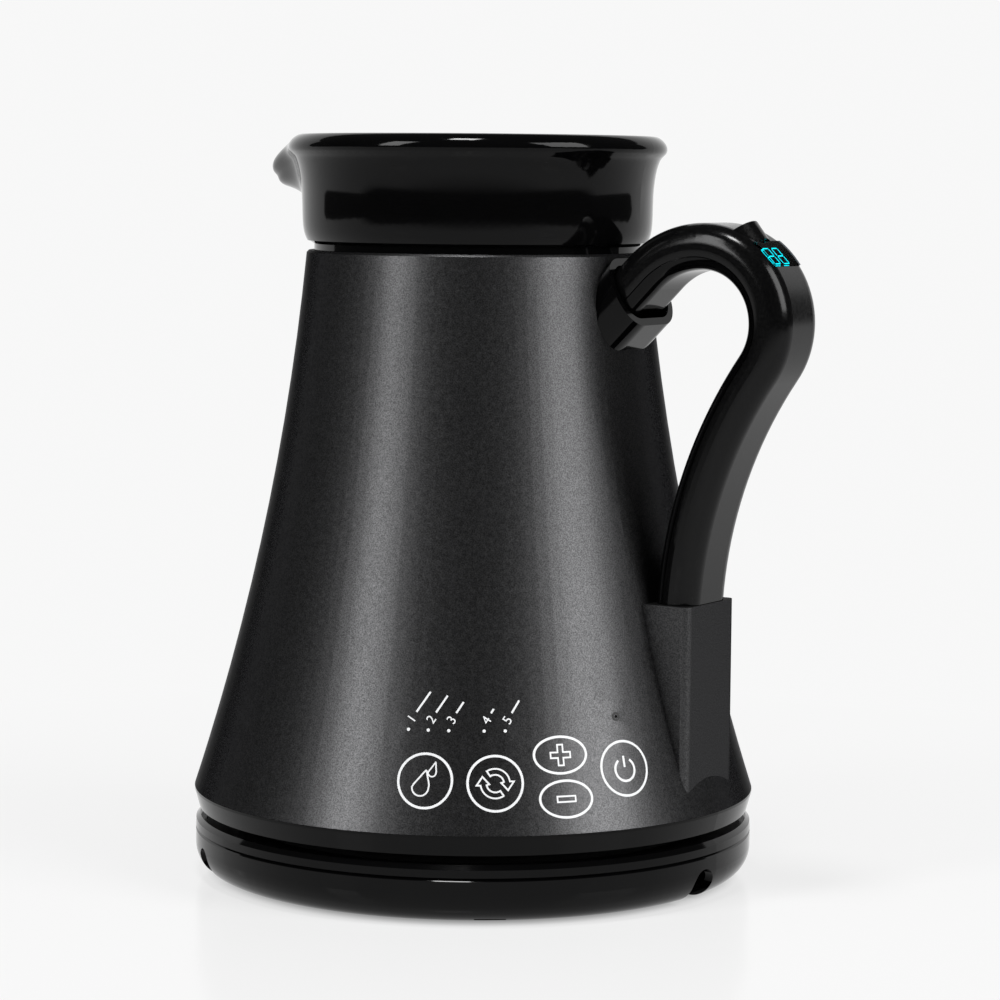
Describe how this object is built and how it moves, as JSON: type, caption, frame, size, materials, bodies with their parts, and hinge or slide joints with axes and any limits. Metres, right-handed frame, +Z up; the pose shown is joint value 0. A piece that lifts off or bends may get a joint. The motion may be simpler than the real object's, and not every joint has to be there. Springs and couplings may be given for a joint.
{
  "type": "electric turkish coffee maker",
  "caption": "Tapered electric coffee jug with a gloss collar, pouring beak and loop handle, touch keys on its front, standing on a round lift-off power base.",
  "frame": {"origin": "on the jug's axis, at the plane the base stands on", "axes": "+Z up along the jug's axis, +X towards the handle, the pouring beak towards -X"},
  "size_m": [0.172, 0.15, 0.1972],
  "materials": {
    "gloss_black": "high gloss",
    "matte_grey_metal": "satin metallic paint",
    "black_plastic": "fine texture",
    "grey_plastic": "fine texture",
    "white_plastic": "moulded",
    "black_rubber": "matte",
    "clear_rubber": "silicone",
    "contact_brass": "plated",
    "steel": "brushed",
    "screw_steel": "zinc plated",
    "vessel_coating": "satin",
    "heater_aluminium": "cast",
    "board_green": "lacquered board",
    "component_black": "moulded",
    "component_blue": "moulded",
    "lamp_white": "moulded",
    "clear_plastic": "clear",
    "smoked_lens": "smoked"
  },
  "bodies": {
    "base": {"base_bottom_shell": "gloss_black", "base_top_shell": "gloss_black", "base_foot_ring": "black_rubber", "base_connector": "black_plastic", "base_contacts": "contact_brass", "base_screws": "screw_steel", "cord_gland": "black_rubber", "shutter_spring": "steel"},
    "swivel": {"swivel_ring": "black_plastic"},
    "shutter": {"connector_shutter": "grey_plastic"},
    "jug": {"body_shell": "matte_grey_metal", "skirt_ring": "gloss_black", "bottom_cover": "black_plastic", "cover_screws": "screw_steel", "jug_connector": "black_plastic", "jug_contacts": "contact_brass", "vessel": "vessel_coating", "vessel_seal": "clear_rubber", "collar": "gloss_black", "heater_plate": "heater_aluminium", "heater_element": "steel", "thermostats": "component_black", "temperature_sensor": "contact_brass", "heater_carrier": "white_plastic", "power_board": "board_green", "relay": "component_blue", "transformer": "component_black", "capacitors": "component_blue", "terminal_blocks": "white_plastic", "control_board": "board_green", "panel_frame": "white_plastic", "board_screws": "screw_steel", "touch_pads": "black_rubber", "key_lamps": "lamp_white", "light_pipes": "clear_plastic", "handle_outer": "gloss_black", "handle_strip": "gloss_black", "handle_socket": "gloss_black", "handle_screws": "screw_steel", "display_lens": "smoked_lens", "digit_module": "component_black", "display_board": "board_green", "display_cable": "grey_plastic"}
  },
  "joints": [
    {"name": "jug_turn", "type": "hinge", "parent": "base", "child": "swivel", "pos_m": [0, 0, 0.0145], "axis": [0, 0, 1], "continuous": true},
    {"name": "jug_lift", "type": "slide", "parent": "swivel", "child": "jug", "axis": [0, 0, 1], "range_m": [0, 0.06]},
    {"name": "shutter_rise", "type": "slide", "parent": "base", "child": "shutter", "axis": [0, 0, 1], "range_m": [0, 0.004], "deforming": ["shutter_spring"]}
  ],
  "couplings": [
    {"joint": "shutter_rise", "follows": "jug_lift", "ratio": 0.0666}
  ]
}
